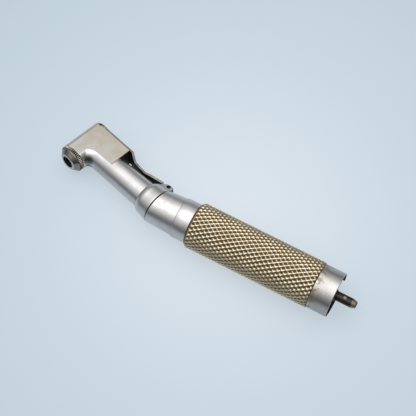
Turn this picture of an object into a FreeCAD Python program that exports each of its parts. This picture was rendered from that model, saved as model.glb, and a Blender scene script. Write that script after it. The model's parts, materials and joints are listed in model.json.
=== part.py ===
import FreeCAD, Part
import math
import os
from FreeCAD import Placement, Rotation, Vector

# Dental contra-angle handpiece for latch-grip burs, millimetres.
# It is built standing in its own symmetry plane: x runs to the rear along the handle,
# z is the back of the head, y is square to the plane, and the origin is the bend.
# Neck pieces are drawn along x in front of the origin and then turned by the bend.
# Head pieces are drawn square to the neck and first lean back about the bur's crossing with it.
# At the end the whole tool is rolled over to lie on the grip and one corner of the head.

bend_angle = 15.0
head_lean = 1.5
bur_x = -28.8
groove_gap = 0.26
running = 0.03
seat = 0.01

shank_bore = 1.18
spindle_r = 1.65
chamber_r = 3.1
head_back_z = 6.55
head_rear = 10.9
barrel_r = 4.25
flat_half = 3.65
elbow_bend = 5.5
neck_front_r = 3.85
neck_rear_r = 4.2
neck_bore_r = 3.0
neck_rear_x = -3.0

cap_ring_r = 4.2
cap_ring_z = -5.4
cap_ring_band = 1.2
cap_serrations = 48
nose_z = -8.0
nose_rim_r = 2.7
nose_mouth_r = 1.8

collar_front_x = -5.15
collar_front_r = 4.4
collar_shoulder_r = 5.15
collar_rear_r = 5.5
pin_x = -1.65
pin_z = 5.9
pin_r = 0.5
ear_in = 1.15
ear_out = 2.1
ear_top = 0.85
ear_front = 1.2
ear_slope = 14.0
pocket_floor = 4.88

elbow_tube_r = 4.4
elbow_bore_r = 3.95
elbow_half = 3.0

taper_front_r = 5.42
taper_rear_r = 5.78
taper_rear_x = 7.2
ring_r = 6.05
ring_rear_x = 11.7
grip_r = 7.0
grip_bore_r = 6.24
grip_rear_x = 50.5
grip_wall = 1.3
collar_r = 6.65
socket_r = 6.2
rim_x = 56.8
spigot_bore_r = 5.55
core_r = 4.7
core_bore_r = 3.9
core_rear_x = 45.4
notch_depth = 3.8
notch_width = 5.6
notch_turn = 38.0

drive_r = 1.54
tang_r = 1.38
drive_tip_x = 63.0
drive_tip_r = 0.9
drive_tip_taper = 1.4
shaft_collar_r = 1.73
neck_shaft_r = 1.0

bend_teeth = 16
bend_gear_r = 3.4
bend_hub = 1.9
head_teeth = 12
head_gear_r = 2.7
head_hub = 3.6

neck_bush_l = 4.0
shaft_bush_l = 4.5
thrust_gap = 0.05
thrust_l = 1.2
nut_l = 1.7

lever_t = 0.55
plate_rear = 11.55
plate_half = 3.15
strip_half = 2.1
tongue_half = 1.05
eye_r = 0.82


def turned(points, direction="x", centre=(0, 0, 0)):
    """A solid of revolution from a closed run of (distance, radius) points, or arcs through one."""
    def place(a, r):
        return Vector(a, 0, r) if direction == "x" else Vector(r, 0, a)
    edges = []
    here = place(*points[0][-2:])
    for p in points[1:] + points[:1]:
        there = place(*p[-2:])
        if len(p) == 4:
            edges.append(Part.Arc(here, place(p[0], p[1]), there).toShape())
        elif (there - here).Length > 1e-7:
            edges.append(Part.LineSegment(here, there).toShape())
        here = there
    axis = Vector(1, 0, 0) if direction == "x" else Vector(0, 0, 1)
    solid = Part.Face(Part.Wire(edges)).revolve(Vector(0, 0, 0), axis, 360)
    solid.translate(Vector(*centre))
    return solid


def rod_x(x0, x1, r):
    return Part.makeCylinder(r, x1 - x0, Vector(x0, 0, 0), Vector(1, 0, 0))


def rod_z(z0, z1, r, x=bur_x):
    return Part.makeCylinder(r, z1 - z0, Vector(x, 0, z0), Vector(0, 0, 1))


def tube_x(x0, x1, r_out, r_in, chamfer=0.0):
    """A plain ring or bush along x with its outer corners broken."""
    c = chamfer
    corners = [(x0, r_out - c), (x0 + c, r_out), (x1 - c, r_out), (x1, r_out - c)] if c else [(x0, r_out), (x1, r_out)]
    return turned([(x0, r_in)] + corners + [(x1, r_in)])


def neck(shape):
    """Turns a neck piece about the bend, so that the neck rises towards the back."""
    turned_shape = shape.copy()
    turned_shape.rotate(Vector(0, 0, 0), Vector(0, 1, 0), bend_angle)
    return turned_shape


def lean(shape):
    """Leans a head piece towards the rear about the bur's crossing with the neck."""
    leaned = shape.copy()
    leaned.rotate(Vector(bur_x, 0, 0), Vector(0, 1, 0), head_lean)
    return leaned


def lean_point(x, z):
    spot = Rotation(Vector(0, 1, 0), head_lean).multVec(Vector(x - bur_x, 0, z))
    return spot.x + bur_x, spot.z


def elbow_form(radius, half):
    """Two rods mitred together at the bend."""
    front, rear = rod_x(-half, 2, radius), rod_x(-2, half, radius)
    ahead = Part.makeBox(20, 20, 20, Vector(-20, -10, -10))
    ahead.rotate(Vector(0, 0, 0), Vector(0, 1, 0), bend_angle / 2)
    return neck(front).common(ahead).fuse(rear.cut(ahead))


def bevel_gear(teeth, half_angle, pitch_r, face, add, ded, slack, back, hub_r, bore_r, phase=0.0):
    """A straight bevel gear with its apex at the origin, opening along +x."""
    d = math.radians(half_angle)
    cone = pitch_r / math.sin(d)
    k = (cone - face) / cone
    pitch_x = pitch_r / math.tan(d)
    tip = (pitch_x - add * math.sin(d), pitch_r + add * math.cos(d))
    root = (pitch_x + ded * math.sin(d), pitch_r - ded * math.cos(d))
    blank = turned([(root[0] * k, bore_r), (root[0] * k, root[1] * k), root, (back, root[1]),
                    (back, hub_r), (back, bore_r)])
    half = math.pi * pitch_r / teeth / 2 - slack
    lean = math.tan(math.radians(20))
    deep = (root[0] + 0.06 * math.sin(d), root[1] - 0.06 * math.cos(d))
    wide = half + (ded + 0.06) * lean
    thin = half - add * lean
    cog = None
    cogs = []
    for i in range(teeth):
        if cog is None:
            outer = [Vector(tip[0], -thin, tip[1]), Vector(tip[0], thin, tip[1]),
                     Vector(deep[0], wide, deep[1]), Vector(deep[0], -wide, deep[1])]
            wires = [Part.makePolygon([p * s for p in outer + outer[:1]]) for s in (1.0, k)]
            cog = Part.makeLoft(wires, True, True)
        one = cog.copy()
        one.rotate(Vector(0, 0, 0), Vector(1, 0, 0), phase + 360.0 * i / teeth)
        cogs.append(one)
    return blank.fuse(cogs).removeSplitter()


# Head and neck housing: a barrel, a smooth elbow, the round neck and a squared head block,
# milled flat on both sides.
def head_housing():
    barrel = lean(rod_z(cap_ring_z, head_back_z, barrel_r))
    elbow_x = bur_x + elbow_bend * math.tan(math.radians(90 - head_lean) / 2)
    disc = Part.Face(Part.Wire(Part.makeCircle(neck_front_r, Vector(elbow_x, 0, 0), Vector(1, 0, 0))))
    elbow = disc.revolve(Vector(elbow_x, 0, -elbow_bend), Vector(0, -1, 0), 90 - head_lean)
    shaft_body = turned([(elbow_x, 0), (elbow_x, neck_front_r), (bur_x + head_rear, neck_front_r + 0.02),
                         (collar_front_x, neck_rear_r), (collar_front_x, neck_rear_r - 0.5),
                         (neck_rear_x, neck_rear_r - 0.5), (neck_rear_x, 0)])
    block = lean(Part.makeBox(head_rear, 2 * barrel_r, head_back_z, Vector(bur_x, -barrel_r, 0)))
    body = barrel.fuse([elbow, shaft_body, block])
    for side in (-1, 1):
        y0 = flat_half if side > 0 else -flat_half - 5
        body = body.cut(lean(Part.makeBox(head_rear + 6, 5, 24, Vector(bur_x - 6, y0, -12))))
    chamber = lean(rod_z(cap_ring_z - 1, head_back_z + 1, chamber_r))
    body = body.cut([chamber, rod_x(bur_x, neck_rear_x + 1, neck_bore_r)])
    return body.removeSplitter()


def nose_cap():
    """Serrated ring with a cone below it and a spigot that screws into the barrel."""
    z1 = cap_ring_z - cap_ring_band
    bore = 2.42
    form = turned([(cap_ring_z + 1.1, bore), (cap_ring_z + 1.1, chamber_r - seat), (cap_ring_z, chamber_r - seat),
                   (cap_ring_z, cap_ring_r - 0.5), (z1, cap_ring_r - 0.4), (z1 - 0.25, cap_ring_r - 0.4),
                   (nose_z + 0.45, nose_rim_r + 0.32, nose_z + 0.12, nose_rim_r), (nose_z, nose_rim_r - 0.12),
                   (nose_z, nose_mouth_r + 0.1), (nose_z + 0.1, nose_mouth_r), (nose_z + 0.65, nose_mouth_r),
                   (nose_z + 0.65, bore)], "z", (bur_x, 0, 0))
    rim = []
    for i in range(2 * cap_serrations + 1):
        a = math.pi * (i % (2 * cap_serrations)) / cap_serrations
        r = cap_ring_r if i % 2 else cap_ring_r - 0.17
        rim.append(Vector(bur_x + r * math.cos(a), r * math.sin(a), z1))
    star = Part.Face(Part.makePolygon(rim)).extrude(Vector(0, 0, cap_ring_band))
    return form.fuse(star.cut(rod_z(z1 - 1, cap_ring_z + 1, bore)))


def nose_bush():
    top, step, end = -3.2, cap_ring_z + 1.1, nose_z + 0.75
    return turned([(top, spindle_r + running), (top, chamber_r - seat), (step, chamber_r - seat), (step, 2.41),
                   (end, 2.41), (end, spindle_r + running)], "z", (bur_x, 0, 0))


def back_bush():
    return turned([(3.75, spindle_r + running), (3.75, chamber_r - seat), (head_back_z, chamber_r - seat),
                   (head_back_z, 1.9), (head_back_z - 0.22, spindle_r + running)], "z", (bur_x, 0, 0))


def hinge_collar():
    """Front collar at the bend with the domed lug that carries the latch pin."""
    rear = -groove_gap / 2
    form = turned([(collar_front_x, neck_rear_r - 0.5 + seat), (collar_front_x, collar_front_r - 0.12),
                   (collar_front_x + 0.12, collar_front_r),
                   (collar_front_x + 0.9, collar_front_r + 0.52, collar_front_x + 2.1, collar_shoulder_r),
                   (rear - 0.2, collar_rear_r), (rear, collar_rear_r - 0.2), (rear, 0), (neck_rear_x, 0),
                   (neck_rear_x, neck_rear_r - 0.5 + seat)])
    root = Vector(collar_front_x + 0.35, -ear_out, collar_front_r - 0.65)
    front = Vector(pin_x - ear_front, -ear_out, pin_z + 0.2)
    back = Vector(rear, -ear_out, pin_z + ear_top / 2)
    foot = Vector(rear, -ear_out, root.z)
    dome = Part.Arc(front, Vector(pin_x + 0.2, -ear_out, pin_z + ear_top), back)
    outline = [Part.LineSegment(root, front), dome, Part.LineSegment(back, foot), Part.LineSegment(foot, root)]
    lug = Part.Face(Part.Wire([e.toShape() for e in outline])).extrude(Vector(0, 2 * ear_out + 2, 0))
    lug.translate(Vector(0, -1, 0))
    for side in (-1, 1):
        trim = Part.makeBox(12, 5, 16, Vector(-10, min(0, 5 * side), -8))
        trim.rotate(Vector(0, 0, 0), Vector(1, 0, 0), side * ear_slope)
        trim.translate(Vector(0, side * ear_out, pin_z))
        lug = lug.cut(trim)
    slot = Part.makeBox(3.8, 2 * ear_in, 3, Vector(pin_x - 2.75, -ear_in, pocket_floor))
    hole = Part.makeCylinder(pin_r + seat, 6, Vector(pin_x, -3, pin_z), Vector(0, 1, 0))
    body = neck(form.fuse(lug).cut([slot, hole]))
    return body.cut(elbow_form(elbow_tube_r + seat, elbow_half))


def latch_pin():
    length = 2 * ear_out - 0.5
    pin = Part.makeCylinder(pin_r, length, Vector(pin_x, -length / 2, pin_z), Vector(0, 1, 0))
    return pin.makeChamfer(0.08, [e for e in pin.Edges if e.Closed])


def latch_spring():
    """Hairpin of flat strip round the pin, beside the lever's eye."""
    r_in, r_out, leg, width = pin_r + 0.05, pin_r + 0.2, 0.75, 0.4
    ends = [Vector(pin_x - leg, 0, pin_z + r_out), Vector(pin_x, 0, pin_z + r_out), Vector(pin_x, 0, pin_z - r_out),
            Vector(pin_x - leg, 0, pin_z - r_out), Vector(pin_x - leg, 0, pin_z - r_in), Vector(pin_x, 0, pin_z - r_in),
            Vector(pin_x, 0, pin_z + r_in), Vector(pin_x - leg, 0, pin_z + r_in)]
    edges = [Part.LineSegment(ends[i], ends[(i + 1) % 8]).toShape() for i in (0, 2, 3, 4, 6, 7)]
    edges.append(Part.Arc(ends[1], Vector(pin_x + r_out, 0, pin_z), ends[2]).toShape())
    edges.append(Part.Arc(ends[5], Vector(pin_x + r_in, 0, pin_z), ends[6]).toShape())
    wire = Part.Wire(Part.__sortEdges__(edges))
    spring = Part.Face(wire).extrude(Vector(0, width, 0))
    spring.translate(Vector(0, tongue_half - width, 0))
    return spring


def elbow_tube():
    return elbow_form(elbow_tube_r, elbow_half).cut(elbow_form(elbow_bore_r, elbow_half + 1))


def taper_sleeve():
    x1 = taper_rear_x
    form = turned([(-3, 0), (-3, taper_front_r - 0.1), (0, taper_front_r), (x1 - 0.1, taper_rear_r), (x1, taper_rear_r - 0.1),
                   (x1, core_r + seat), (elbow_half, core_r + seat), (elbow_half, 0)])
    front = neck(Part.makeBox(20, 20, 20, Vector(-20 + groove_gap / 2, -10, -10)))
    return form.cut([front, elbow_form(elbow_tube_r + seat, elbow_half)])


def front_ring():
    return tube_x(taper_rear_x, ring_rear_x, ring_r, core_r + seat, 0.15)


def grip_sleeve():
    """Grip tube: closed to the core at its front end, open at the rear."""
    x0, x1 = ring_rear_x, grip_rear_x
    return turned([(x0, core_r + seat), (x0, grip_r - 0.85), (x0 + 0.9, grip_r), (x1 - 0.3, grip_r), (x1, grip_r - 0.3),
                   (x1, grip_bore_r), (x0 + grip_wall, grip_bore_r), (x0 + grip_wall, core_r + seat)])


def body_core():
    """Inner tube that carries the drive bushes and centres the grip on two lands."""
    x0, x1 = elbow_half, core_rear_x
    land = grip_bore_r - seat
    a, b = ring_rear_x + grip_wall, 4.0
    return turned([(x0, core_bore_r), (x0, core_r), (a, core_r), (a, land), (a + b, land), (a + b, core_r),
                   (x1 - b, core_r), (x1 - b, land), (x1, land), (x1, core_bore_r)])


def rear_collar():
    x0, x1 = core_rear_x, rim_x
    step = grip_rear_x + 0.6
    form = turned([(x0, spigot_bore_r), (x0, grip_bore_r - seat), (grip_rear_x, grip_bore_r - seat),
                   (grip_rear_x, collar_r - 0.15), (grip_rear_x + 0.15, collar_r), (x1 - 0.12, collar_r), (x1, collar_r - 0.12),
                   (x1, socket_r + 0.1), (x1 - 0.1, socket_r), (step, socket_r), (step, spigot_bore_r)])
    notch = Part.makeBox(notch_depth + 1, notch_width, 4, Vector(x1 - notch_depth, -notch_width / 2, socket_r - 1.2))
    notch = notch.makeFillet(0.7, [e for e in notch.Edges if abs(e.Vertexes[0].Z - e.Vertexes[-1].Z) > 3
                                   and e.Vertexes[0].X < x1])
    notch.rotate(Vector(0, 0, 0), Vector(1, 0, 0), -notch_turn)
    return form.cut(notch)


def bearing_nut():
    """Slotted nut behind the rear bush."""
    x0, x1 = core_rear_x - nut_l + 0.5, core_rear_x + 0.5
    nut = tube_x(x0, x1, core_bore_r - seat, 2.4, 0.12)
    return nut.cut(Part.makeBox(2, 9, 0.9, Vector(x1 - 0.6, -4.5, -0.45)))


def bush(x0, x1, r_out, r_in):
    return tube_x(x0, x1, r_out - seat, r_in + running)


def latch_lever():
    """One bent strip: plate over the head, run along the neck, hump and eye, with the bur claw."""
    t = lever_t
    low = head_back_z + 0.04
    front, end = bur_x - 4.6, bur_x + plate_rear
    upper = [lean_point(front, low + t), lean_point(end + 0.3, low + t), (-15.2, 5.95), (-14.1, 5.35), (-12.0, 5.02),
             (-9.5, 4.84), (-8.6, 5.25), (-5.4, 5.82), (-3.7, 6.12), (pin_x, pin_z + eye_r)]
    lower = [(pin_x, pin_z - eye_r + 0.02), (pin_x - 1.5, pin_z - 0.3), (-5.2, 5.24), (-8.3, 4.68), (-9.3, 4.29),
             (-12.0, 4.47), (-14.4, 4.84), (-15.7, 5.5), lean_point(end + 0.12, low), lean_point(front, low)]
    side = Part.makePolygon([Vector(x, 0, z) for x, z in upper + lower + upper[:1]])
    strip = Part.Face(side).extrude(Vector(0, 8, 0))
    strip.translate(Vector(0, -4, 0))
    neck_in = bur_x + plate_rear
    nose_arc = Part.Arc(Vector(bur_x + 1.2, plate_half, 0), Vector(bur_x - 3.75, 0, 0), Vector(bur_x + 1.2, -plate_half, 0))
    run = [(bur_x + 1.2, -plate_half), (neck_in + 0.3, -plate_half), (neck_in + 2.3, -strip_half), (pin_x - 2.05, -strip_half),
           (pin_x - 2.05, -tongue_half), (pin_x + 2, -tongue_half), (pin_x + 2, tongue_half - 0.5), (pin_x - 1.05, tongue_half - 0.5),
           (pin_x - 1.05, tongue_half), (pin_x - 2.05, tongue_half), (pin_x - 2.05, strip_half), (neck_in + 2.3, strip_half),
           (neck_in + 0.3, plate_half), (bur_x + 1.2, plate_half)]
    edges = [Part.LineSegment(Vector(a[0], a[1], 0), Vector(b[0], b[1], 0)).toShape() for a, b in zip(run, run[1:])]
    plan = Part.Face(Part.Wire([nose_arc.toShape()] + edges)).extrude(Vector(0, 0, 12))
    eye = Part.makeCylinder(eye_r, 2 * tongue_half - 0.5, Vector(pin_x, -tongue_half, pin_z), Vector(0, 1, 0))
    claw = lean(rod_z(head_back_z - 1.1, low + 0.1, 0.95))
    body = strip.common(plan).fuse([eye, claw])
    return body.cut(Part.makeCylinder(pin_r + running, 6, Vector(pin_x, -3, pin_z), Vector(0, 1, 0))).removeSplitter()


def bur_spindle():
    lo, hi = nose_z + 0.35, head_back_z - 1.3
    return turned([(lo, shank_bore + 0.12), (lo, spindle_r - 0.12), (lo + 0.12, spindle_r), (-3.15, spindle_r),
                   (-3.15, 1.95), (-2.8, 1.95), (-2.8, spindle_r), (hi, spindle_r), (hi, shank_bore),
                   (lo + 0.12, shank_bore)], "z", (bur_x, 0, 0))


def head_gear(phase):
    return bevel_gear(head_teeth, 45.0 - head_lean / 2, head_gear_r, 0.8, 0.3, 0.38, 0.07, head_hub, 0.0, 0.0, phase)


def spindle_gear():
    gear = head_gear(0.0)
    gear.rotate(Vector(0, 0, 0), Vector(0, 1, 0), -90)
    gear.translate(Vector(bur_x, 0, 0))
    return gear.cut(rod_z(-2, 6, spindle_r + seat))


def neck_pinion():
    gear = head_gear(180.0 / head_teeth)
    gear.translate(Vector(bur_x, 0, 0))
    return gear.cut(rod_x(bur_x - 2, bur_x + 8, neck_shaft_r + seat))


def neck_shaft():
    return rod_x(bur_x + 2.0, 1.0 - bend_hub, neck_shaft_r)


def bend_gear(phase):
    gear = bevel_gear(bend_teeth, 90.0 - bend_angle / 2, bend_gear_r, 1.1, 0.22, 0.34, 0.09, bend_hub, 0.0, 0.0, phase)
    return gear


def neck_gear():
    gear = bend_gear(180.0 / bend_teeth)
    gear.rotate(Vector(0, 0, 0), Vector(0, 0, 1), 180)
    return gear.cut(rod_x(-4 * bend_hub, 1, neck_shaft_r + seat))


def drive_gear():
    return bend_gear(0.0).cut(rod_x(-1, 4 * bend_hub, drive_r + seat))


def drive_shaft():
    x0, x1, x2 = bend_hub - 1.0, rim_x - 0.1, drive_tip_x
    return turned([(x0, 0), (x0, drive_r), (x1, drive_r), (x1, tang_r), (x2 - drive_tip_taper, tang_r),
                   (x2 - 0.2, drive_tip_r + 0.12), (x2, drive_tip_r - 0.1), (x2, 0)])


def shaft_collar():
    return tube_x(rim_x - 3.3, rim_x - 0.1, shaft_collar_r, drive_r + seat, 0.12)


rear_bush_x = core_rear_x - nut_l + 0.5
front_bush_x = bend_hub + thrust_l + 2 * thrust_gap
front_neck_bush_x = bur_x + head_hub + 0.5

neck_side = {
    "head_housing": head_housing(),
    "nose_cap": lean(nose_cap()),
    "nose_bush": lean(nose_bush()),
    "back_bush": lean(back_bush()),
    "neck_front_bush": bush(front_neck_bush_x, front_neck_bush_x + neck_bush_l, neck_bore_r, neck_shaft_r),
    "neck_rear_bush": bush(neck_rear_x - neck_bush_l, neck_rear_x, neck_bore_r, neck_shaft_r),
    "latch_pin": latch_pin(),
    "latch_spring": latch_spring(),
    "latch_lever": latch_lever(),
    "bur_spindle": lean(bur_spindle()),
    "spindle_gear": lean(spindle_gear()),
    "neck_pinion": neck_pinion(),
    "neck_shaft": neck_shaft(),
    "neck_gear": neck_gear(),
    "neck_thrust_ring": tube_x(neck_rear_x + thrust_gap, -bend_hub - thrust_gap, 1.9, neck_shaft_r + seat),
}
nodes = {name: neck(shape) for name, shape in neck_side.items()}
nodes.update({
    "hinge_collar": hinge_collar(),
    "elbow_tube": elbow_tube(),
    "taper_sleeve": taper_sleeve(),
    "front_ring": front_ring(),
    "grip_sleeve": grip_sleeve(),
    "body_core": body_core(),
    "rear_collar": rear_collar(),
    "bearing_nut": bearing_nut(),
    "shaft_front_bush": bush(front_bush_x, front_bush_x + shaft_bush_l, core_bore_r, drive_r),
    "shaft_rear_bush": bush(rear_bush_x - shaft_bush_l, rear_bush_x, core_bore_r, drive_r),
    "drive_shaft": drive_shaft(),
    "drive_gear": drive_gear(),
    "drive_thrust_ring": tube_x(bend_hub + thrust_gap, front_bush_x - thrust_gap, 2.3, drive_r + seat),
    "shaft_collar": shaft_collar(),
})

# Lying pose: the grip and the far back corner of the head touch the table.
half_chord = math.sqrt(barrel_r ** 2 - flat_half ** 2)
bend = math.radians(bend_angle)
corner = lean_point(bur_x - half_chord, head_back_z)
corner_z = corner[1] * math.cos(bend) - corner[0] * math.sin(bend)
roll = math.degrees(math.asin(grip_r / math.hypot(corner_z, flat_half)) - math.atan2(flat_half, corner_z))
lying = Placement(Vector(0, 0, grip_r), Rotation(Vector(1, 0, 0), -(90 + roll)))
placed = {name: shape.copy() for name, shape in nodes.items()}
for shape in placed.values():
    shape.Placement = lying.multiply(shape.Placement)
box = Part.makeCompound(list(placed.values())).optimalBoundingBox(False)
centring = Placement(Vector(-box.Center.x, -box.Center.y, -box.ZMin), Rotation())

os.makedirs("parts", exist_ok=True)
for name, shape in placed.items():
    shape.Placement = centring.multiply(shape.Placement)
    shape.exportStep("parts/" + name + ".step")
print("roll", round(roll, 3), "box", [round(v, 3) for v in (box.XLength, box.YLength, box.ZLength)],
      "bend at", [round(v, 4) for v in centring.multVec(Vector(0, 0, grip_r))])
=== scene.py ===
import json
import math

import bmesh
import bpy
from bpy.props import FloatProperty, FloatVectorProperty, IntProperty, PointerProperty
from bpy.types import Operator, Panel, PropertyGroup
from mathutils import Matrix, Vector


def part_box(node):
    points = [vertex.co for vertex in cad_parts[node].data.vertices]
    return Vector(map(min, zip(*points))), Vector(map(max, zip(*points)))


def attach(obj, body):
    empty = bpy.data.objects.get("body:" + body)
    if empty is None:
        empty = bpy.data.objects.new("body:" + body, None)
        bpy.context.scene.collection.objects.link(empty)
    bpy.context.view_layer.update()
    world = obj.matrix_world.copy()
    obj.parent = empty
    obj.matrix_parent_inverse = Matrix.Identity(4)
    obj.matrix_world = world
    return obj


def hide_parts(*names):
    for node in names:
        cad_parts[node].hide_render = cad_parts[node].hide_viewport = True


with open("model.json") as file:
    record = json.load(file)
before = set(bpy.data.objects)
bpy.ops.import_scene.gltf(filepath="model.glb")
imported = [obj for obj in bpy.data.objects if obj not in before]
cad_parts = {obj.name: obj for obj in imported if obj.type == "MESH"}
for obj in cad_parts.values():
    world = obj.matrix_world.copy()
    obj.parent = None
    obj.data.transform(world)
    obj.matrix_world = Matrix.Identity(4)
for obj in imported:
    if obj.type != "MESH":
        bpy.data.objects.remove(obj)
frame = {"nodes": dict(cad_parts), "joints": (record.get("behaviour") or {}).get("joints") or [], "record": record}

bl_info = {
    "name": "Contra-angle handpiece dressing",
    "version": (1, 0, 0),
    "blender": (4, 5, 0),
    "location": "View3D > Sidebar > Handpiece",
    "description": "Dresses the packed solids of a geared contra-angle dental handpiece",
    "category": "Object",
}

MM = 0.001
JOINTS = {joint["name"]: joint for joint in frame["joints"]}


def joint_place(name):
    return Vector(JOINTS[name]["pos_m"])


def joint_axis(name):
    return Vector(JOINTS[name]["axis"]).normalized()


# The bend is where the handle's axis meets the neck's. Both point to the rear, and the bur's
# axis points to the back of the head.
BEND = joint_place("drive_spin")
HANDLE = joint_axis("drive_spin")
NECK = joint_axis("neck_spin")
BUR = joint_place("bur_spin")
BUR_AXIS = joint_axis("bur_spin")
SIDE = joint_axis("latch_hinge")
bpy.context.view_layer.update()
# Two marks on the top of the handle: a speck on the tapered sleeve and a rust spot on the shaft.
SPECK = BEND + HANDLE * 2.4 * MM + Vector((0, 0.19, 5.54)) * MM
RUST = BEND + HANDLE * 59.3 * MM + Vector((0, 0.16, 1.53)) * MM
# Painted highlights on the latch's strip, each seen from the side: distance behind the bend, height
# above the bend in the latch's plane, and radius of the place, in millimetres.
STRIP_HIGHLIGHTS = ((-14.9, 11.8, 0.75), (-7.1, 7.45, 0.4), (-4.9, 7.25, 0.4))
# Radii of the hidden seats that the modelled pieces share with the solids they stand for.
CORE_SEAT = 4.71 * MM
GRIP_BORE = 6.24 * MM
NOSE_BUSH_SEAT = 2.42 * MM
NOSE_SPIGOT = 3.09 * MM
GRIP_FRONT_WALL = 1.3 * MM
GRIP_REAR_CHAMFER = 0.3 * MM
# Angle between two faces from which their edge is shown sharp or bevelled.
SHARP = math.radians(32)
# Tones that several finishes share, as factors on the nickel: plain, rear collar, milled flat,
# worn strip and crests of the knurl.
PLAIN_TONE = (1.0, 0.995, 0.985)
REAR_TONE = (0.8, 0.785, 0.745)
FLAT_TONE = (0.89, 0.885, 0.85)
STRIP_TONE = (0.92, 0.87, 0.78)
KNURL_TONE = (1.36, 1.24, 0.98)
# The dome of light: the way it leans, and its level from the horizon below to the zenith above.
DOME_LEAN = Vector((-0.15, 0.12, 0.98)).normalized()
DOME_LEVELS = ((0.0, 0.07), (0.17, 0.13), (0.34, 0.28), (0.5, 0.5), (0.64, 0.85), (0.8, 1.15))
SOFTBOX_OFFSET = (-0.04, 0.055)
SOFTBOX_LEVEL = 1.35


class KnurlSizes(PropertyGroup):
    """Sizes of the grip's diamond knurl"""

    starts: IntProperty(name="Starts", description="Ridges of each hand round the grip", default=30, min=8)
    slant: FloatProperty(name="Slant", description="Angle between a ridge and the handle's axis",
                         default=math.radians(34.3), subtype="ANGLE")
    second: FloatProperty(name="Second hand", description="Turns of the other ridges to one of the first",
                          default=1.06)
    depth: FloatProperty(name="Depth", description="Depth of the pits below the crests",
                         default=0.5 * MM, unit="LENGTH", precision=5)
    chamfer: FloatProperty(name="Chamfer", description="Length of the chamfer at the front end",
                           default=0.9 * MM, unit="LENGTH", precision=5)
    samples: IntProperty(name="Samples", description="Mesh steps across one diamond", default=10, min=4)


class CapSizes(PropertyGroup):
    """Sizes of the serrated nose cap"""

    teeth: IntProperty(name="Teeth", description="Serrations round the ring", default=48, min=12)
    band: FloatProperty(name="Band", description="Width of the serrated ring",
                        default=1.2 * MM, unit="LENGTH", precision=5)
    tooth: FloatProperty(name="Tooth", description="Height of one serration",
                         default=0.24 * MM, unit="LENGTH", precision=5)
    mouth: FloatProperty(name="Mouth", description="Radius of the nose opening",
                         default=1.8 * MM, unit="LENGTH", precision=5)
    rim: FloatProperty(name="Rim", description="Radius of the flat rim round the mouth",
                       default=2.7 * MM, unit="LENGTH", precision=5)


class FinishColours(PropertyGroup):
    """Base colours of the finishes"""

    nickel: FloatVectorProperty(name="Nickel", description="Satin nickel plate", subtype="COLOR",
                                size=3, default=(0.565, 0.56, 0.56), min=0, max=1)
    tarnish: FloatVectorProperty(name="Tarnish", description="Tarnish on the milled flats", subtype="COLOR",
                                 size=3, default=(0.46, 0.415, 0.335), min=0, max=1)
    brass: FloatVectorProperty(name="Worn brass", description="Brass that shows on the knurl", subtype="COLOR",
                               size=3, default=(0.42, 0.325, 0.185), min=0, max=1)
    # Dark deposit, also used as painted shade along the top of the milled flat
    grime_and_shade: FloatVectorProperty(name="Grime", description="Dark deposit in grooves", subtype="COLOR",
                               size=3, default=(0.055, 0.038, 0.024), min=0, max=1)
    dark_steel: FloatVectorProperty(name="Dark steel", description="Steel of the nose cap", subtype="COLOR",
                                    size=3, default=(0.25, 0.245, 0.23), min=0, max=1)
    black_steel: FloatVectorProperty(name="Black steel", description="Steel of the drive shaft", subtype="COLOR",
                                     size=3, default=(0.04, 0.036, 0.031), min=0, max=1)
    bronze: FloatVectorProperty(name="Bronze", description="Bushes and thrust rings", subtype="COLOR",
                                size=3, default=(0.55, 0.34, 0.17), min=0, max=1)
    floor: FloatVectorProperty(name="Floor", description="Pale floor", subtype="COLOR",
                               size=3, default=(0.72, 0.78, 0.84), min=0, max=1)


class StageSizes(PropertyGroup):
    """Where the camera stands and how the stage is lit"""

    azimuth: FloatProperty(name="Azimuth", description="Turn of the view from -Y towards +X",
                           default=math.radians(33.69), subtype="ANGLE")
    elevation: FloatProperty(name="Elevation", description="Height of the view above the floor",
                             default=math.radians(69.62), subtype="ANGLE")
    roll: FloatProperty(name="Roll", description="Turn of the picture about the line of sight",
                        default=math.radians(-5.68), subtype="ANGLE")
    distance: FloatProperty(name="Distance", description="From the camera to the point aimed at",
                            default=348.4 * MM, unit="LENGTH")
    aim: FloatVectorProperty(name="Aim", description="Point in the middle of the picture", subtype="TRANSLATION",
                             unit="LENGTH", size=3, default=(-1.72 * MM, 2.08 * MM, 7.04 * MM))
    lens: FloatProperty(name="Lens", description="Focal length in millimetres", default=105.45)
    softbox: FloatProperty(name="Softbox", description="Width of the lamp overhead", default=0.62, unit="LENGTH")
    softbox_height: FloatProperty(name="Softbox height", description="Height of the lamp above the floor",
                                  default=0.55, unit="LENGTH")


class Signal:
    """A shader socket that can stand in a plain sum."""

    def __init__(self, finish, socket):
        self.finish = finish
        self.socket = socket

    def _sum(self, operation, first, second):
        return self.finish.node("ShaderNodeMath", {"operation": operation}, {0: first, 1: second})

    def __add__(self, other):
        return self._sum("ADD", self, other)

    def __radd__(self, other):
        return self._sum("ADD", other, self)

    def __sub__(self, other):
        return self._sum("SUBTRACT", self, other)

    def __rsub__(self, other):
        return self._sum("SUBTRACT", other, self)

    def __mul__(self, other):
        return self._sum("MULTIPLY", self, other)

    def __rmul__(self, other):
        return self._sum("MULTIPLY", other, self)

    def __truediv__(self, other):
        return self._sum("DIVIDE", self, other)


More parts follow.
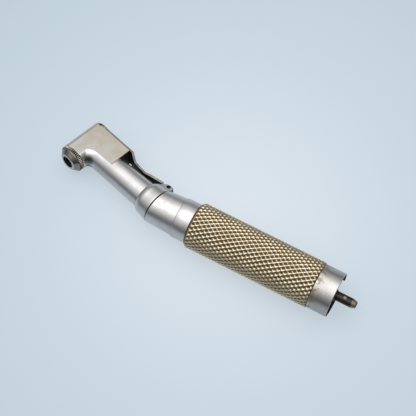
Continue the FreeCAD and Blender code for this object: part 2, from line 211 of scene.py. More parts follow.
class Finish:
    """A procedural material under construction."""

    def __init__(self, name, metallic=1.0, roughness=0.3):
        self.material = bpy.data.materials.new(name)
        self.material.use_nodes = True
        self.tree = self.material.node_tree
        self.tree.nodes.clear()
        self.output = self.tree.nodes.new("ShaderNodeOutputMaterial")
        self.shader = self.tree.nodes.new("ShaderNodeBsdfPrincipled")
        self.tree.links.new(self.shader.outputs[0], self.output.inputs["Surface"])
        self.shader.inputs["Metallic"].default_value = metallic
        self.shader.inputs["Roughness"].default_value = roughness
        self.place = self.node("ShaderNodeTexCoord", out="Object")

    def node(self, kind, settings=None, values=None, out=0):
        """Adds a node: its settings first, then the values or links of its sockets."""
        made = self.tree.nodes.new(kind)
        for key, value in (settings or {}).items():
            setattr(made, key, value)
        for key, value in (values or {}).items():
            self.plug(made.inputs[key], value)
        return Signal(self, made.outputs[out])

    def plug(self, socket, value):
        if isinstance(value, Signal):
            self.tree.links.new(value.socket, socket)
        else:
            socket.default_value = value

    def set(self, name, value):
        if name in ("Base Color", "Emission Color") and not isinstance(value, Signal):
            value = (*value, 1.0)
        self.plug(self.shader.inputs[name], value)

    def along(self, origin, axis):
        """Distance along an axis, in metres."""
        away = self.node("ShaderNodeVectorMath", {"operation": "SUBTRACT"}, {0: self.place, 1: origin})
        return self.node("ShaderNodeVectorMath", {"operation": "DOT_PRODUCT"}, {0: away, 1: axis}, out="Value")

    def away_from(self, point):
        """Distance from a point, in metres."""
        return self.node("ShaderNodeVectorMath", {"operation": "DISTANCE"}, {0: self.place, 1: point}, out="Value")

    def off_axis(self, origin, axis):
        """Distance from an axis, in metres."""
        away = self.node("ShaderNodeVectorMath", {"operation": "SUBTRACT"}, {0: self.place, 1: origin})
        cross = self.node("ShaderNodeVectorMath", {"operation": "CROSS_PRODUCT"}, {0: away, 1: axis})
        return self.node("ShaderNodeVectorMath", {"operation": "LENGTH"}, {0: cross}, out="Value")

    def noise(self, size, detail=3.0, roughness=0.5, stretch=(1.0, 1.0, 1.0), offset=0.0):
        """Noise whose blotches are about size metres wide, from 0 to 1."""
        scale = tuple(s / size for s in stretch)
        vector = self.node("ShaderNodeMapping", {"vector_type": "POINT"},
                           {"Vector": self.place, "Location": (offset, offset, offset), "Scale": scale})
        return self.node("ShaderNodeTexNoise", {}, {"Vector": vector, "Scale": 1.0, "Detail": detail,
                                                    "Roughness": roughness})

    def rings(self, origin, axis, pitch):
        """Fine irregular turning rings along an axis."""
        distance = self.along(origin, axis) / pitch
        return self.node("ShaderNodeTexNoise", {"noise_dimensions": "1D"},
                         {"W": distance, "Scale": 1.0, "Detail": 2.0})

    def smooth(self, value, low, high):
        """0 below low, 1 above high and a smooth rise between; low may be above high."""
        return self.node("ShaderNodeMapRange", {"interpolation_type": "SMOOTHSTEP", "clamp": True},
                         {"Value": value, "From Min": low, "From Max": high, "To Min": 0.0, "To Max": 1.0})

    def mix(self, factor, first, second):
        """A colour between two, by factor."""
        mixer = self.tree.nodes.new("ShaderNodeMix")
        mixer.data_type = "RGBA"
        self.plug(mixer.inputs[0], factor)
        for socket, colour in ((mixer.inputs[6], first), (mixer.inputs[7], second)):
            self.plug(socket, colour if isinstance(colour, Signal) else (*colour, 1.0))
        return Signal(self, mixer.outputs[2])

    def bump(self, height, strength, depth, edge):
        """A bump over edges that are shaded as rounds of radius edge."""
        rounded = self.node("ShaderNodeBevel", {"samples": 8}, {"Radius": edge})
        normal = self.node("ShaderNodeBump", {}, {"Height": height, "Strength": strength, "Distance": depth,
                                                  "Normal": rounded})
        self.plug(self.shader.inputs["Normal"], normal)


FINISHES = {}


def finish_once(maker):
    """Makes a material the first time that it is asked for."""
    def made(*details):
        key = (maker.__name__,) + details
        if key not in FINISHES:
            FINISHES[key] = maker(*details).material
        return FINISHES[key]
    return made


def colours():
    return bpy.context.scene.handpiece_colours


def toned(colour, tone):
    """A colour times a factor for each channel, or one factor for all."""
    factors = (tone,) * 3 if isinstance(tone, float) else tone
    return tuple(c * k for c, k in zip(colour, factors))


@finish_once
def satin_nickel(region):
    """Satin plate with faint turning rings; region is neck, collar, handle or rear."""
    finish = Finish("satin_nickel_" + region, roughness=0.34)
    origin, axis = (BUR, NECK) if region in ("neck", "collar") else (BEND, HANDLE)
    rings = finish.rings(origin, axis, 0.09 * MM)
    cloud = finish.noise(6 * MM, 4.0, 0.6)
    speck = finish.noise(0.35 * MM, 2.0, 0.5, offset=3.0)
    dull = finish.smooth(cloud, 0.42, 0.72)
    spots = finish.smooth(speck, 0.70, 0.80)
    nickel = toned(colours().nickel, REAR_TONE if region == "rear" else PLAIN_TONE)
    base = finish.mix(dull * 0.5, nickel, toned(nickel, 0.82))
    base = finish.mix(spots * 0.3, base, (0.42, 0.38, 0.33))
    if region == "neck":
        # Painted shade on the back of the neck, below the latch's strip
        side = finish.along(BUR, SIDE) / MM
        shaded = finish.smooth(side * side, 6.0, 3.4) * finish.smooth(finish.along(BUR, BUR_AXIS), 2.4 * MM, 3.0 * MM)
        behind = finish.smooth(finish.along(BUR, NECK), 10.4 * MM, 10.8 * MM)
        base = finish.mix(shaded * behind, base, (0.02, 0.017, 0.014))
        # Painted shade in the corners where the barrel meets the elbow, one on each side
        up = finish.along(BUR - BUR_AXIS * 3.4 * MM, BUR_AXIS) / MM
        back = finish.along(BUR + NECK * 4.1 * MM, NECK) / MM
        out = finish.node("ShaderNodeMath", {"operation": "ABSOLUTE"}, {0: side}) - 1.3
        crease_shade = finish.smooth(up * up + back * back + out * out, 4.2, 0.3)
        base = finish.mix(crease_shade * 0.85, base, (0.045, 0.04, 0.036))
    if region == "collar":
        pin = finish.off_axis(joint_place("latch_hinge"), SIDE)
        # Painted highlight on the rim of the pin's hole, and painted shade inside the hole
        base = finish.mix(finish.smooth(pin, 0.95 * MM, 0.8 * MM) * 0.5, base, (0.85, 0.85, 0.85))
        base = finish.mix(finish.smooth(pin, 0.72 * MM, 0.62 * MM), base, (0.012, 0.01, 0.009))
    if region == "handle":
        base = finish.mix(finish.smooth(finish.away_from(SPECK), 0.22 * MM, 0.1 * MM) * 0.8, base, (0.05, 0.045, 0.04))
    if region == "rear":
        worn = finish.along(end_of("grip_sleeve"), HANDLE)
        patch = finish.noise(1.3 * MM, 5.0, 0.7, stretch=(0.7, 1.0, 1.0), offset=7.0)
        brown = finish.smooth(worn, 3.6 * MM, 0.4 * MM) * finish.smooth(patch, 0.47, 0.62)
        base = finish.mix(brown * 0.8, base, (0.24, 0.16, 0.085))
        scratch = finish.noise(0.6 * MM, 4.0, 0.7, stretch=(1.0, 0.5, 0.5), offset=1.1)
        base = finish.mix(finish.smooth(scratch, 0.6, 0.7) * 0.4, base, (0.75, 0.70, 0.62))
        finish.set("Roughness", 0.34 + dull * 0.06 + brown * 0.12)
    else:
        finish.set("Roughness", 0.31 + dull * 0.07 + rings * 0.04)
    finish.set("Base Color", base)
    grain = finish.noise(0.3 * MM, 4.0, 0.7, offset=9.0)
    edge = {"neck": 0.7, "collar": 0.45}.get(region, 0.15) * MM
    finish.bump(rings * 0.45 + grain * 0.8, 0.35, 0.02 * MM, edge)
    return finish


@finish_once
def milled_flat():
    """Polished flat of the head with beige tarnish, brass showing at its rear end, and painted shade along its top
    under the latch's plate.
    """
    finish = Finish("milled_flat", roughness=0.2)
    broad = finish.noise(3.5 * MM, 3.0, 0.5, offset=1.7)
    fine = finish.noise(0.8 * MM, 4.0, 0.6, offset=4.2)
    height = finish.along(BUR, BUR_AXIS)
    stain = finish.smooth(broad * 0.75 + fine * 0.25 + height * 25.0, 0.34, 0.72)
    nickel = toned(colours().nickel, FLAT_TONE)
    base = finish.mix(stain, nickel, tuple(colours().tarnish))
    rear = finish.along(BUR, NECK)
    base = finish.mix(finish.smooth(rear, 10.72 * MM, 10.84 * MM), base, tuple(colours().brass))
    # Painted shade along the top of the flat, under the latch's plate, wider towards the front
    shade_band = 0.12 * MM + finish.smooth(rear, -0.6 * MM, -1.3 * MM) * 0.35 * MM
    line = node_reach("head_housing", BUR, BUR_AXIS)[1] - shade_band
    base = finish.mix(finish.smooth(height, line, line + 0.06 * MM), base, tuple(colours().grime_and_shade))
    finish.set("Base Color", base)
    finish.set("Roughness", 0.12 + stain * 0.08 + fine * 0.05)
    grain = finish.noise(0.5 * MM, 2.0, 0.5, stretch=(6.0, 0.6, 0.6))
    finish.bump(grain, 0.05, 0.01 * MM, 0.3 * MM)
    return finish


@finish_once
def dark_steel():
    """Oiled dark steel of the nose cap: its raised edges lighter, partly from wear and partly as painted highlight; a
    painted highlight on the rim and painted shade in the mouth.
    """
    finish = Finish("dark_steel", roughness=0.33)
    steel = tuple(colours().dark_steel)
    radius = finish.off_axis(BUR, BUR_AXIS)
    reach = node_reach("nose_cap", BUR, BUR_AXIS)[2]
    crest = finish.smooth(radius, reach - 0.09 * MM, reach - 0.01 * MM)
    valley = finish.smooth(radius, reach - 0.07 * MM, reach - 0.16 * MM) * finish.smooth(
        finish.along(BUR, BUR_AXIS), -6.65 * MM, -6.5 * MM)
    cloud = finish.noise(1.4 * MM, 4.0, 0.6)
    base = finish.mix(finish.smooth(cloud, 0.4, 0.7) * 0.6, steel, toned(steel, 0.6))
    base = finish.mix(valley, base, toned(colours().grime_and_shade, 0.7))
    # Tooth tips lightened: worn metal, partly painted highlight of the teeth
    base = finish.mix(crest * 0.95, base, (0.95, 0.83, 0.58))
    # Painted highlight on the flat rim round the mouth
    rim = finish.smooth(radius, 1.9 * MM, 2.05 * MM) * finish.smooth(radius, 2.85 * MM, 2.65 * MM)
    base = finish.mix(rim * 0.7, base, (0.55, 0.545, 0.53))
    # Painted shade inside the mouth
    base = finish.mix(finish.smooth(radius, 1.95 * MM, 1.85 * MM), base, (0.01, 0.009, 0.008))
    finish.set("Base Color", base)
    finish.set("Roughness", 0.2 + cloud * 0.14)
    finish.bump(finish.rings(BUR, BUR_AXIS, 0.12 * MM), 0.12, 0.02 * MM, 0.06 * MM)
    return finish


@finish_once
def painted_shade_black():
    """Near-black steel as painted shade: the gap below the latch, the pin's ends, and the bores and steps of the
    collars.
    """
    finish = Finish("painted_shade_black", metallic=0.2, roughness=0.55)
    cloud = finish.noise(0.7 * MM, 3.0, 0.5, offset=3.3)
    finish.set("Base Color", finish.mix(cloud, (0.006, 0.005, 0.004), (0.026, 0.021, 0.016)))
    finish.shader.inputs["Specular IOR Level"].default_value = 0.2
    return finish


@finish_once
def strip_edge():
    """Side of the latch's strip, painted dark as shade and mottled, lighter over the hump, with painted highlights."""
    finish = Finish("strip_edge", roughness=0.24)
    cloud = finish.noise(1.2 * MM, 3.0, 0.5, offset=8.1)
    # Painted shade: a dark mottled side, painted lighter grey over the hump
    base = finish.mix(finish.smooth(cloud, 0.35, 0.65), (0.15, 0.14, 0.125), (0.27, 0.23, 0.165))
    hump = finish.smooth(finish.along(BEND, HANDLE), -7.8 * MM, -6.8 * MM)
    base = finish.mix(hump * 0.7, base, (0.3, 0.295, 0.28))
    # Painted highlights on the strip's side at the places listed at the top
    for back, up, size in STRIP_HIGHLIGHTS:
        place = BEND + (HANDLE * back + HANDLE.cross(SIDE) * up) * MM
        base = finish.mix(finish.smooth(finish.off_axis(place, SIDE), size * MM, 0.4 * size * MM), base,
                          (0.9, 0.85, 0.72))
    finish.set("Base Color", base)
    finish.bump(cloud, 0.05, 0.01 * MM, 0.25 * MM)
    return finish


@finish_once
def spring_steel():
    """Bright bent strip of the latch."""
    finish = Finish("spring_steel", roughness=0.26)
    cloud = finish.noise(1.8 * MM, 4.0, 0.6, offset=2.0)
    scratch = finish.noise(0.25 * MM, 2.0, 0.5, stretch=(0.12, 1.0, 1.0), offset=5.0)
    nickel = tuple(colours().nickel)
    finish.set("Base Color", finish.mix(finish.smooth(cloud, 0.35, 0.7), nickel, toned(nickel, STRIP_TONE)))
    finish.set("Roughness", 0.2 + cloud * 0.16)
    finish.bump(scratch, 0.15, 0.01 * MM, 0.25 * MM)
    return finish


@finish_once
def worn_knurl():
    """Nickel worn through to brass on the knurl, with dirt in its pits."""
    crest = outer_radius("grip_sleeve")
    depth = bpy.context.scene.handpiece_knurl.depth
    finish = Finish("worn_knurl", roughness=0.3)
    radius = finish.off_axis(BEND, HANDLE)
    height = (radius - (crest - depth)) / depth
    wear = finish.noise(5 * MM, 3.0, 0.55, offset=2.4)
    fleck = finish.noise(0.5 * MM, 3.0, 0.6, offset=6.1)
    nickel = toned(colours().nickel, KNURL_TONE)
    brass = tuple(colours().brass)
    worn = finish.smooth(height + (wear - 0.5) * 0.4 + (fleck - 0.5) * 0.3, 0.5, 0.92)
    base = finish.mix(worn, brass, nickel)
    low = finish.smooth(height + (fleck - 0.5) * 0.2, 0.56, 0.14)
    base = finish.mix(low * 0.94, base, tuple(colours().grime_and_shade))
    finish.set("Base Color", base)
    finish.set("Roughness", 0.24 + low * 0.3 + fleck * 0.08)
    finish.set("Metallic", 1.0 - low * 0.35)
    return finish


@finish_once
def black_steel():
    """Blackened drive shaft with a grayer worn tip and one rusty patch."""
    finish = Finish("black_steel", roughness=0.34)
    tail = finish.along(end_of("drive_shaft"), HANDLE)
    tip = finish.smooth(tail, -1.9 * MM, -0.9 * MM)
    cloud = finish.noise(0.9 * MM, 4.0, 0.6)
    black = tuple(colours().black_steel)
    base = finish.mix(finish.smooth(cloud, 0.5, 0.8) * 0.4, black, (0.10, 0.075, 0.05))
    base = finish.mix(tip * 0.75, base, (0.30, 0.275, 0.215))
    rust = finish.smooth(finish.away_from(RUST) + (cloud - 0.5) * 0.5 * MM, 0.6 * MM, 0.3 * MM)
    base = finish.mix(rust * 0.9, base, (0.45, 0.27, 0.13))
    finish.set("Base Color", base)
    finish.set("Metallic", 1.0 - rust * 0.8)
    finish.set("Roughness", 0.26 + cloud * 0.2 + rust * 0.3)
    finish.bump(finish.rings(BEND, HANDLE, 0.1 * MM), 0.1, 0.02 * MM, 0.1 * MM)
    return finish


@finish_once
def turned_metal(kind):
    """Plain turned finish of the hidden pieces: bronze, brass or gear steel."""
    tones = {"bronze": tuple(colours().bronze), "brass": tuple(colours().brass), "gear": (0.42, 0.42, 0.43)}
    finish = Finish("turned_" + kind, roughness=0.32)
    cloud = finish.noise(1.5 * MM, 3.0, 0.5)
    tone = tones[kind]
    finish.set("Base Color", finish.mix(finish.smooth(cloud, 0.3, 0.7), tone, toned(tone, 0.72)))
    finish.set("Roughness", 0.24 + cloud * 0.18)
    return finish


def outer_radius(node):
    """Outer radius of a node that is turned about the handle's axis."""
    lo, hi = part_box(node)
    return (hi.z - lo.z) / 2


def end_of(node):
    """Point on the handle's axis at the rear end of a node."""
    return Vector((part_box(node)[1].x, BEND.y, BEND.z))


def node_reach(node, origin, axis):
    """Lowest and highest distance of a node along an axis, and its largest radius about it."""
    spots = [vertex.co - origin for vertex in frame["nodes"][node].data.vertices]
    heights = [spot.dot(axis) for spot in spots]
    return min(heights), max(heights), max((spot - axis * spot.dot(axis)).length for spot in spots)


def settle(bm, name, body, materials, replaced, sharp=SHARP):
    """Turns a modelled bmesh's faces outwards and makes a piece of it."""
    bmesh.ops.recalc_face_normals(bm, faces=bm.faces)
    return keep(bm, name, body, materials, replaced, sharp)


def keep(bm, name, body, materials, replaced, sharp=SHARP):
    """Makes a smooth-shaded piece of a bmesh, gives it its finishes and puts it on its body."""
    for face in bm.faces:
        face.smooth = True
    for edge in bm.edges:
        if len(edge.link_faces) == 2:
            one, other = edge.link_faces
            edge.smooth = edge.calc_face_angle(0.0) < sharp and one.material_index == other.material_index
    mesh = bpy.data.meshes.new(name)
    bm.to_mesh(mesh)
    bm.free()
    piece = bpy.data.objects.new(name, mesh)
    bpy.context.scene.collection.objects.link(piece)
    for material in materials:
        mesh.materials.append(material)
    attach(piece, body)
    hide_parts(*replaced)
    return piece


def bevelled(piece, width, angle=SHARP, segments=2):
    """Breaks a piece's sharp edges."""
    bevel = piece.modifiers.new("broken_edges", "BEVEL")
    bevel.width = width
    bevel.segments = segments
    bevel.limit_method = "ANGLE"
    bevel.angle_limit = angle
    bevel.harden_normals = True
    bevel.use_clamp_overlap = True


def merged_copy(node):
    """A bmesh of a CAD node's surface with its triangles joined up."""
    bm = bmesh.new()
    bm.from_mesh(frame["nodes"][node].data)
    bmesh.ops.remove_doubles(bm, verts=bm.verts, dist=0.002 * MM)
    bmesh.ops.dissolve_degenerate(bm, edges=bm.edges, dist=0.001 * MM)
    bmesh.ops.dissolve_limit(bm, verts=bm.verts, edges=bm.edges, angle_limit=math.radians(0.4),
                             use_dissolve_boundaries=False)
    bm.normal_update()
    return bm


def square_to(axis):
    """A direction square to an axis."""
    return axis.cross(Vector((0, 0, 1)) if abs(axis.z) < 0.9 else Vector((0, 1, 0))).normalized()


def spun(profile, origin, axis, steps=160):
    """A bmesh turned about an axis from a closed profile of (distance, radius) points."""
    out = square_to(axis)
    bm = bmesh.new()
    spots = [bm.verts.new(origin + axis * distance + out * radius) for distance, radius in profile]
    edges = [bm.edges.new((a, b)) for a, b in zip(spots, spots[1:] + spots[:1])]
    bmesh.ops.spin(bm, geom=spots + edges, cent=origin, axis=axis, dvec=(0, 0, 0), angle=2 * math.pi,
                   steps=steps, use_merge=True, use_duplicate=False)
    bmesh.ops.remove_doubles(bm, verts=bm.verts, dist=0.001 * MM)
    return bm


class HANDPIECE_OT_housing(Operator):
    """Dress the head and neck housing"""

    bl_idname = "handpiece.housing"
    bl_label = "Head and neck"

    def execute(self, context):
        bm = merged_copy("head_housing")
        if abs(SIDE.dot(NECK)) > 0.01:
            raise RuntimeError("the latch pin is not square to the neck")
        top = node_reach("head_housing", BUR, BUR_AXIS)[1] - 0.5 * MM
        spots = [vertex.co - BUR for vertex in bm.verts]
        reach = max(abs(spot.dot(SIDE)) for spot in spots if spot.dot(BUR_AXIS) > top)
        for face in bm.faces:
            # Material 1 is the milled flat; material 2 paints the head's rear face, in the gap below the latch, black
            # as shade
            spot = face.calc_center_median() - BUR
            if abs(face.normal.dot(SIDE)) > 0.999 and abs(abs(spot.dot(SIDE)) - reach) < 0.02 * MM:
                face.material_index = 1
            elif face.normal.dot(NECK) > 0.99 and spot.dot(BUR_AXIS) > 2 * MM and spot.dot(NECK) < 12 * MM:
                face.material_index = 2
        piece = keep(bm, "housing_shell", "handpiece",
                     [satin_nickel("neck"), milled_flat(), painted_shade_black()], ["head_housing"])
        bevelled(piece, 0.09 * MM, math.radians(16))
        return {"FINISHED"}


class HANDPIECE_OT_nose(Operator):
    """Model the serrated nose cap"""

    bl_idname = "handpiece.nose"
    bl_label = "Nose cap"

    def execute(self, context):
        sizes = context.scene.handpiece_cap
        nose, spigot, reach = node_reach("nose_cap", BUR, BUR_AXIS)
        seat = node_reach("head_housing", BUR, BUR_AXIS)[0]
        foot = seat - sizes.band
        bore = NOSE_BUSH_SEAT
        cone = [(spigot, bore), (spigot, NOSE_SPIGOT), (seat, NOSE_SPIGOT), (seat, reach - 0.3 * MM),
                (foot, reach - 0.3 * MM), (foot - 0.16 * MM, reach - 0.36 * MM), (foot - 0.3 * MM, reach - 0.5 * MM),
                (nose + 0.42 * MM, sizes.rim + 0.32 * MM), (nose + 0.22 * MM, sizes.rim + 0.16 * MM),
                (nose + 0.08 * MM, sizes.rim - 0.02 * MM), (nose, sizes.rim - 0.2 * MM),
                (nose, sizes.mouth + 0.14 * MM), (nose + 0.05 * MM, sizes.mouth + 0.04 * MM),
                (nose + 0.15 * MM, sizes.mouth), (nose + 0.65 * MM, sizes.mouth), (nose + 0.65 * MM, bore)]
        bm = spun(cone, BUR, BUR_AXIS, steps=144)
        bmesh.ops.recalc_face_normals(bm, faces=bm.faces)
        turn = BUR_AXIS.to_track_quat("Z", "Y").to_matrix().to_4x4()
        stations = [(foot, 0.22), (foot + 0.16 * MM, 0.0), (seat - 0.16 * MM, 0.0), (seat - 0.01 * MM, 0.22)]
        loop = bmesh.ops.create_circle(bm, cap_ends=False, segments=4 * sizes.teeth, radius=reach,
                                       matrix=Matrix.Translation(BUR + BUR_AXIS * stations[0][0]) @ turn)["verts"]
        edges = [edge for edge in bm.edges if edge.verts[0] in loop and edge.verts[1] in loop]
        rings = [loop]
        for distance, inset in stations[1:]:
            grown = bmesh.ops.extrude_edge_only(bm, edges=edges)["geom"]
            loop = [item for item in grown if isinstance(item, bmesh.types.BMVert)]
            edges = [item for item in grown if isinstance(item, bmesh.types.BMEdge)]
            step = BUR + BUR_AXIS * distance
            for vertex in loop:
                vertex.co += BUR_AXIS * (step - vertex.co).dot(BUR_AXIS)
            rings.append(loop)
        across = turn.to_3x3().col[0]
        along = turn.to_3x3().col[1]
        for ring, (distance, inset) in zip(rings, stations):
            for vertex in ring:
                spoke = vertex.co - BUR - BUR_AXIS * distance
                angle = math.atan2(spoke.dot(along), spoke.dot(across))
                wave = math.cos(angle * sizes.teeth)
                drop = sizes.tooth * (0.5 - 0.5 * wave) + inset * MM
                vertex.co -= spoke.normalized() * drop
        for ring in (rings[0], rings[-1]):
            rim = [edge for edge in bm.edges if edge.verts[0] in ring and edge.verts[1] in ring]
            inner = bmesh.ops.extrude_edge_only(bm, edges=rim)["geom"]
            for vertex in [item for item in inner if isinstance(item, bmesh.types.BMVert)]:
                spoke = vertex.co - BUR
                spoke -= BUR_AXIS * spoke.dot(BUR_AXIS)
                vertex.co -= spoke.normalized() * (spoke.length - (reach - 0.45 * MM))
        settle(bm, "serrated_cap", "handpiece", [dark_steel()], ["nose_cap"])
        return {"FINISHED"}


class HANDPIECE_OT_latch(Operator):
    """Dress the latch lever"""

    bl_idname = "handpiece.latch"
    bl_label = "Latch"

    def execute(self, context):
        bm = merged_copy("latch_lever")
        # Side faces take the strip's side finish, painted dark as shade; faces turned towards the neck are painted
        # black as shade
        for face in bm.faces:
            if abs(face.normal.dot(SIDE)) > 0.7:
                face.material_index = 1
            elif face.normal.dot(BUR_AXIS) < -0.2:
                face.material_index = 2
        lever = keep(bm, "latch_strip", "latch", [spring_steel(), strip_edge(), painted_shade_black()],
                     ["latch_lever"], sharp=math.radians(48))
        bevelled(lever, 0.12 * MM, math.radians(48), segments=3)
        return {"FINISHED"}


class HANDPIECE_OT_collars(Operator):
    """Dress the hinge collar, the tapered sleeve and the plain ring"""

    bl_idname = "handpiece.collars"
    bl_label = "Collars"

    def execute(self, context):
        bm = merged_copy("hinge_collar")
        # Faces turned to the rear are painted black as shade at the collar's rear joint
        for face in bm.faces:
            face.material_index = int(face.normal.dot(HANDLE) > 0.95)
        collar = keep(bm, "lug_collar", "handpiece", [satin_nickel("collar"), painted_shade_black()],
                      ["hinge_collar"])
        bevelled(collar, 0.06 * MM)
        bm = merged_copy("taper_sleeve")
        # Faces turned to the front are painted black as shade at the sleeve's front joint
        for face in bm.faces:
            face.material_index = int(face.normal.dot(HANDLE) < -0.95)
        sleeve = keep(bm, "tapered_sleeve", "handpiece", [satin_nickel("handle"), painted_shade_black()],
                      ["taper_sleeve"])
        bevelled(sleeve, 0.05 * MM)
        lo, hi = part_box("front_ring")
        start, end, radius, bore = lo.x - BEND.x, hi.x - BEND.x, outer_radius("front_ring"), CORE_SEAT
        soft = 0.15 * MM
        ring = spun([(start, bore), (start, radius - soft), (start + soft * 0.3, radius - soft * 0.3),
                     (start + soft, radius), (end - soft, radius), (end - soft * 0.3, radius - soft * 0.3),
                     (end, radius - soft), (end, bore)], BEND, HANDLE)
        settle(ring, "plain_ring", "handpiece", [satin_nickel("handle")], ["front_ring"])
        return {"FINISHED"}


class HANDPIECE_OT_grip(Operator):
    """Model the knurled grip"""

    bl_idname = "handpiece.grip"
    bl_label = "Knurled grip"

    def execute(self, context):
        sizes = context.scene.handpiece_knurl
        lo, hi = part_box("grip_sleeve")
        start, end, crest = lo.x - BEND.x, hi.x - BEND.x, outer_radius("grip_sleeve")
        around = 2 * math.pi * crest / sizes.starts
        along = around / math.tan(sizes.slant)
        step = along / sizes.samples
        pocket = start + GRIP_FRONT_WALL
        inset = 0.04 * MM
        stations = int((end - start - 2 * inset) / step)
        first = start + (end - start - stations * step) / 2
        skin = [(first + i * step, crest) for i in range(stations + 1)]
        closing = [(end, crest - GRIP_REAR_CHAMFER), (end, GRIP_BORE), (pocket, GRIP_BORE), (pocket, CORE_SEAT),
                   (start, CORE_SEAT), (start, crest - sizes.chamfer + 0.1 * MM)]
        bm = spun(skin + closing, BEND, HANDLE, steps=sizes.starts * sizes.samples)
        for vertex in bm.verts:
            spoke = vertex.co - BEND
            distance = spoke.dot(HANDLE)
            spoke -= HANDLE * distance
            if spoke.length < crest - 0.01 * MM:
                continue
            angle = math.atan2(spoke.dot(SIDE), spoke.dot(SIDE.cross(HANDLE)))
            turn = angle * sizes.starts / (2 * math.pi)
            travel = (distance - first) / along
            one = (0.5 + 0.5 * math.cos(2 * math.pi * (turn + travel))) ** 1.2
            other = (0.5 + 0.5 * math.cos(2 * math.pi * (turn - travel * sizes.second))) ** 1.2
            ridge = 0.55 * max(one, 0.85 * other) + 0.15 * one + 0.3 * one * other
            lift = crest - sizes.depth * (1 - ridge)
            front = crest - sizes.chamfer + (distance - start) + 0.1 * MM
            rear = crest - GRIP_REAR_CHAMFER + (end - distance)
            vertex.co = BEND + HANDLE * distance + spoke.normalized() * min(lift, front, rear)
        settle(bm, "knurled_grip", "handpiece", [worn_knurl()], ["grip_sleeve"],
               sharp=math.radians(60))
        return {"FINISHED"}


class HANDPIECE_OT_rear(Operator):
    """Dress the rear collar with its notch"""

    bl_idname = "handpiece.rear"
    bl_label = "Rear collar"

    def execute(self, context):
        bm = merged_copy("rear_collar")
        wall = outer_radius("rear_collar") - 0.3 * MM
        # Faces inside the wall, in the collar's bore, are painted black as shade
        for face in bm.faces:
            spot = face.calc_center_median() - BEND
            face.material_index = int((spot - HANDLE * spot.dot(HANDLE)).length < wall)
        collar = keep(bm, "notched_collar", "handpiece", [satin_nickel("rear"), painted_shade_black()],
                      ["rear_collar"])
        bevelled(collar, 0.05 * MM)
        return {"FINISHED"}


class HANDPIECE_OT_drive(Operator):
    """Dress the drive shaft and its collar"""

    bl_idname = "handpiece.drive"
    bl_label = "Drive shaft"

    def execute(self, context):
        for node, name in (("drive_shaft", "drive_spindle"), ("shaft_collar", "spindle_collar")):
            piece = keep(merged_copy(node), name, "drive_shaft", [black_steel()], [node])
            bevelled(piece, 0.04 * MM)
        return {"FINISHED"}


class HANDPIECE_OT_inside(Operator):
    """Give the hidden solids their finishes"""

    bl_idname = "handpiece.inside"
    bl_label = "Inside"

    def execute(self, context):
        # The latch pin is painted black as shade, as it sits deep in its hole
        finishes = {"bronze": turned_metal("bronze"), "inner": turned_metal("brass"), "gear": turned_metal("gear"),
                    "shaft": black_steel(), "spring": spring_steel(), "pin": painted_shade_black(), "nose": dark_steel(),
                    "lever": spring_steel(), "satin": satin_nickel("handle"), "head": satin_nickel("neck"),
                    "grip": worn_knurl()}
        for part in frame["record"]["subparts"]:
            finish = black_steel() if part["node"] == "bearing_nut" else finishes[part["material_slot"]]
            mesh = frame["nodes"][part["node"]].data
            mesh.materials.clear()
            mesh.materials.append(finish)
        return {"FINISHED"}


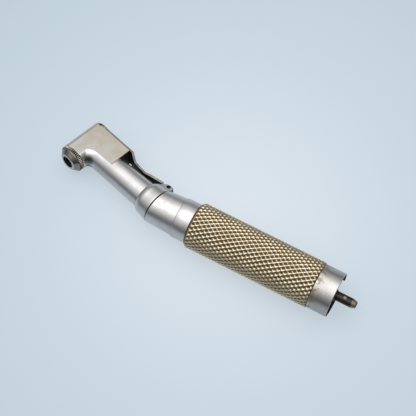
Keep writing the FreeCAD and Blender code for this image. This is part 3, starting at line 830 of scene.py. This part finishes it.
class HANDPIECE_OT_stage(Operator):
    """Set up the floor, the light and the camera"""

    bl_idname = "handpiece.stage"
    bl_label = "Stage"

    def execute(self, context):
        sizes = context.scene.handpiece_stage
        self.floor(context)
        self.light(context, sizes)
        self.camera(context, sizes)
        context.scene.view_settings.view_transform = "Standard"
        return {"FINISHED"}

    def floor(self, context):
        bm = bmesh.new()
        bmesh.ops.create_grid(bm, x_segments=1, y_segments=1, size=1.5)
        mesh = bpy.data.meshes.new("floor")
        bm.to_mesh(mesh)
        bm.free()
        floor = bpy.data.objects.new("floor", mesh)
        context.scene.collection.objects.link(floor)
        finish = Finish("pale_floor", metallic=0.0, roughness=0.9)
        finish.shader.inputs["Specular IOR Level"].default_value = 0.1
        pale = tuple(colours().floor)
        # The floor's colour is a painted pool of light: lighter round the tool and darker further out, which also
        # darkens the floor in the metal's reflections
        distance = finish.off_axis(Vector((0.004, 0.003, 0)), Vector((0, 0, 1)))
        shade = finish.mix(finish.smooth(distance, -0.02, 0.092), pale, toned(pale, (0.74, 0.81, 0.845)))
        shade = finish.mix(finish.smooth(distance, 0.075, 0.22), shade, toned(pale, 0.4))
        finish.set("Base Color", shade)
        # Camera and glossy rays see mostly a glow of this colour, which lightens the object's shadow on the floor
        glow = finish.node("ShaderNodeEmission", {}, {"Color": shade, "Strength": 1.0})
        path = finish.tree.nodes.new("ShaderNodeLightPath")
        seen = sum((Signal(finish, path.outputs[name]) for name in
                    ("Is Camera Ray", "Is Glossy Ray", "Is Transmission Ray")), 0.0)
        matt = Signal(finish, finish.shader.outputs[0])
        lit = finish.node("ShaderNodeMixShader", {}, {0: seen * 0.72, 1: matt, 2: glow})
        finish.tree.links.new(lit.socket, finish.output.inputs["Surface"])
        mesh.materials.append(finish.material)

    def light(self, context, sizes):
        world = bpy.data.worlds.new("dome")
        world.use_nodes = True
        tree = world.node_tree
        tree.nodes.clear()
        coordinates = tree.nodes.new("ShaderNodeTexCoord")
        lean = tree.nodes.new("ShaderNodeVectorMath")
        lean.operation = "DOT_PRODUCT"
        lean.inputs[1].default_value = DOME_LEAN
        ramp = tree.nodes.new("ShaderNodeValToRGB")
        background = tree.nodes.new("ShaderNodeBackground")
        output = tree.nodes.new("ShaderNodeOutputWorld")
        tree.links.new(coordinates.outputs["Generated"], lean.inputs[0])
        tree.links.new(lean.outputs["Value"], ramp.inputs[0])
        tree.links.new(ramp.outputs[0], background.inputs["Color"])
        tree.links.new(background.outputs[0], output.inputs["Surface"])
        elements = ramp.color_ramp.elements
        while len(elements) < len(DOME_LEVELS):
            elements.new(0.5)
        for element, (position, level) in zip(elements, DOME_LEVELS):
            element.position = position
            element.color = (level, level, level, 1.0)
        context.scene.world = world
        lamp = bpy.data.lights.new("softbox", "AREA")
        lamp.shape = "DISK"
        lamp.size = sizes.softbox
        lamp.energy = SOFTBOX_LEVEL * math.pi * math.pi * (sizes.softbox / 2) ** 2
        softbox = bpy.data.objects.new("softbox", lamp)
        place = Vector((*SOFTBOX_OFFSET, sizes.softbox_height))
        softbox.location = place
        softbox.rotation_euler = place.to_track_quat("Z", "Y").to_euler()
        context.scene.collection.objects.link(softbox)

    def camera(self, context, sizes):
        flat = math.cos(sizes.elevation)
        back = Vector((math.sin(sizes.azimuth) * flat, -math.cos(sizes.azimuth) * flat, math.sin(sizes.elevation)))
        level = Vector((0, 0, 1)).cross(back).normalized()
        upright = back.cross(level)
        right = level * math.cos(sizes.roll) + upright * math.sin(sizes.roll)
        up = back.cross(right)
        data = bpy.data.cameras.new("camera")
        data.lens = sizes.lens
        data.sensor_width = 36.0
        data.sensor_fit = "HORIZONTAL"
        data.clip_start = 0.01
        camera = bpy.data.objects.new("camera", data)
        turn = Matrix((right, up, back)).transposed()
        camera.matrix_world = Matrix.Translation(Vector(sizes.aim) + back * sizes.distance) @ turn.to_4x4()
        context.scene.collection.objects.link(camera)
        context.scene.camera = camera


OPERATORS = (HANDPIECE_OT_inside, HANDPIECE_OT_housing, HANDPIECE_OT_nose, HANDPIECE_OT_latch, HANDPIECE_OT_collars,
             HANDPIECE_OT_grip, HANDPIECE_OT_rear, HANDPIECE_OT_drive, HANDPIECE_OT_stage)
SETTINGS = {"handpiece_knurl": KnurlSizes, "handpiece_cap": CapSizes, "handpiece_colours": FinishColours,
            "handpiece_stage": StageSizes}


class HANDPIECE_PT_panel(Panel):
    """Lists the handpiece's operators and sizes"""

    bl_idname = "HANDPIECE_PT_panel"
    bl_label = "Handpiece"
    bl_space_type = "VIEW_3D"
    bl_region_type = "UI"
    bl_category = "Handpiece"

    def draw(self, context):
        for operator in OPERATORS:
            self.layout.operator(operator.bl_idname)
        for name, group in SETTINGS.items():
            box = self.layout.box()
            for size in group.__annotations__:
                box.prop(getattr(context.scene, name), size)


def register():
    for group in SETTINGS.values():
        bpy.utils.register_class(group)
    for name, group in SETTINGS.items():
        setattr(bpy.types.Scene, name, PointerProperty(type=group))
    for operator in OPERATORS:
        bpy.utils.register_class(operator)
    bpy.utils.register_class(HANDPIECE_PT_panel)


def unregister():
    bpy.utils.unregister_class(HANDPIECE_PT_panel)
    for operator in reversed(OPERATORS):
        bpy.utils.unregister_class(operator)
    for name, group in SETTINGS.items():
        delattr(bpy.types.Scene, name)
        bpy.utils.unregister_class(group)


def main():
    register()
    for operator in OPERATORS:
        group, name = operator.bl_idname.split(".")
        getattr(getattr(bpy.ops, group), name)()


if __name__ == "__main__":
    main()
